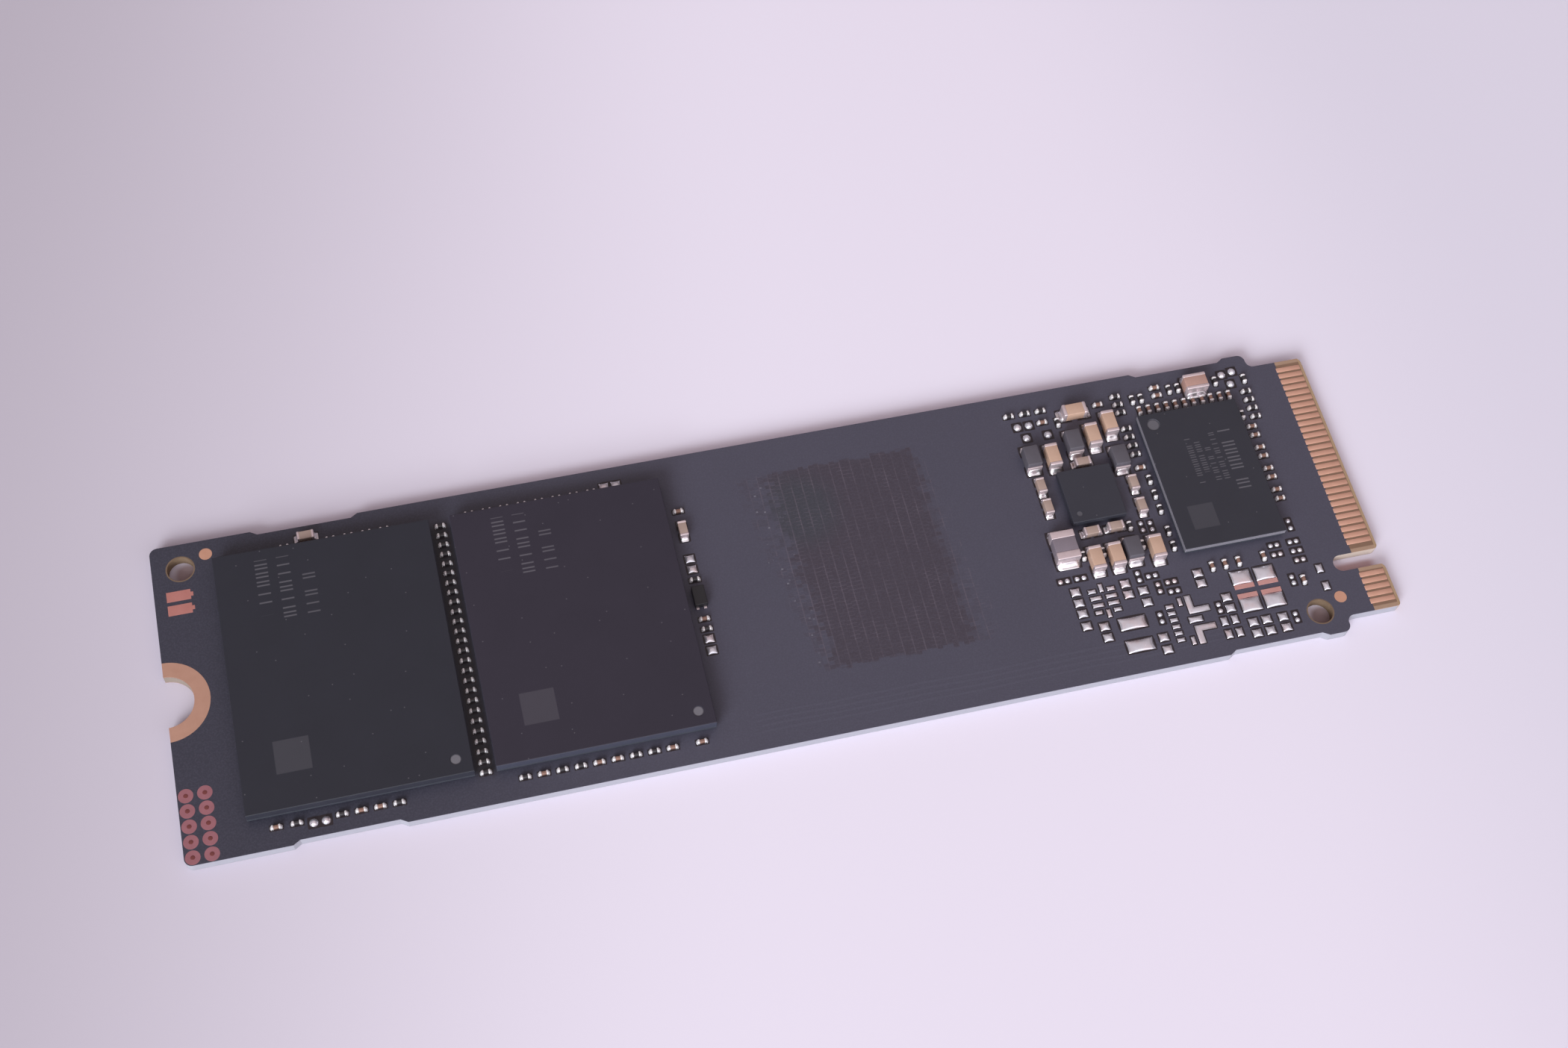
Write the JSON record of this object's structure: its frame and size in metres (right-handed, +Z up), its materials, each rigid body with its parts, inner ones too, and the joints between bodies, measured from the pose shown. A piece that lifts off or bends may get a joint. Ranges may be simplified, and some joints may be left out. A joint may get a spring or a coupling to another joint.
{
  "type": "solid-state drive card",
  "caption": "Slim plug-in storage card: a narrow dark circuit board with moulded memory packages, a controller, soldered chip parts, gold edge contacts and a half-round screw notch.",
  "frame": {"origin": "middle of the card's outline on its lower face", "axes": "+X along the card towards the plug contacts, +Y across it towards the side away from the key slot, +Z up out of the face that carries the packages"},
  "size_m": [0.08, 0.022, 0.0019],
  "materials": {
    "board": "charcoal solder mask over glass-fibre laminate, tan at the bare plug edge",
    "gold": "thin gold plating, satin",
    "copper": "bare coated copper, satin and pinkish",
    "solder": "bright reflowed tin solder",
    "memory_mould": "moulded epoxy, matte and slightly purple black",
    "chip_mould": "moulded epoxy, matte dark grey",
    "carrier": "dark laminate carrier, its cut edge slightly glossy",
    "tan_ceramic": "fired tan ceramic, satin",
    "dark_ceramic": "dark coated ceramic",
    "ferrite": "grey sintered ferrite, matte",
    "end_metal": "tin-plated end metal, satin"
  },
  "bodies": {
    "root": {"circuit_board": "board", "contacts_upper": "gold", "contacts_lower": "gold", "screw_pad_upper": "gold", "screw_pad_lower": "gold", "alignment_marks": "gold", "earth_pads": "copper", "test_points": "copper", "coil_land_copper": "copper", "first_flash_balls": "solder", "second_flash_balls": "solder", "controller_balls": "solder", "power_chip_balls": "solder", "solder_lands": "solder", "tall_lands": "solder", "wide_lands": "solder", "solder_dots": "solder", "solder_blobs": "solder", "coil_land_solder": "solder", "ring_footprint": "solder", "comb_footprint": "solder", "first_flash_cap": "memory_mould", "second_flash_cap": "memory_mould", "controller_cap": "chip_mould", "power_chip_body": "chip_mould", "switch_chip_body": "chip_mould", "first_flash_plate": "carrier", "second_flash_plate": "carrier", "controller_plate": "carrier", "tiny_capacitor_bodies": "tan_ceramic", "small_capacitor_bodies": "tan_ceramic", "medium_capacitor_bodies": "tan_ceramic", "wide_capacitor_bodies": "tan_ceramic", "tiny_resistor_bodies": "dark_ceramic", "coil_bodies": "ferrite", "filter_coil_bodies": "ferrite", "tiny_capacitor_caps": "end_metal", "tiny_resistor_caps": "end_metal", "small_capacitor_caps": "end_metal", "medium_capacitor_caps": "end_metal", "wide_capacitor_caps": "end_metal", "filter_coil_caps": "end_metal", "coil_plates": "end_metal", "switch_chip_leads": "end_metal"}
  },
  "joints": []
}
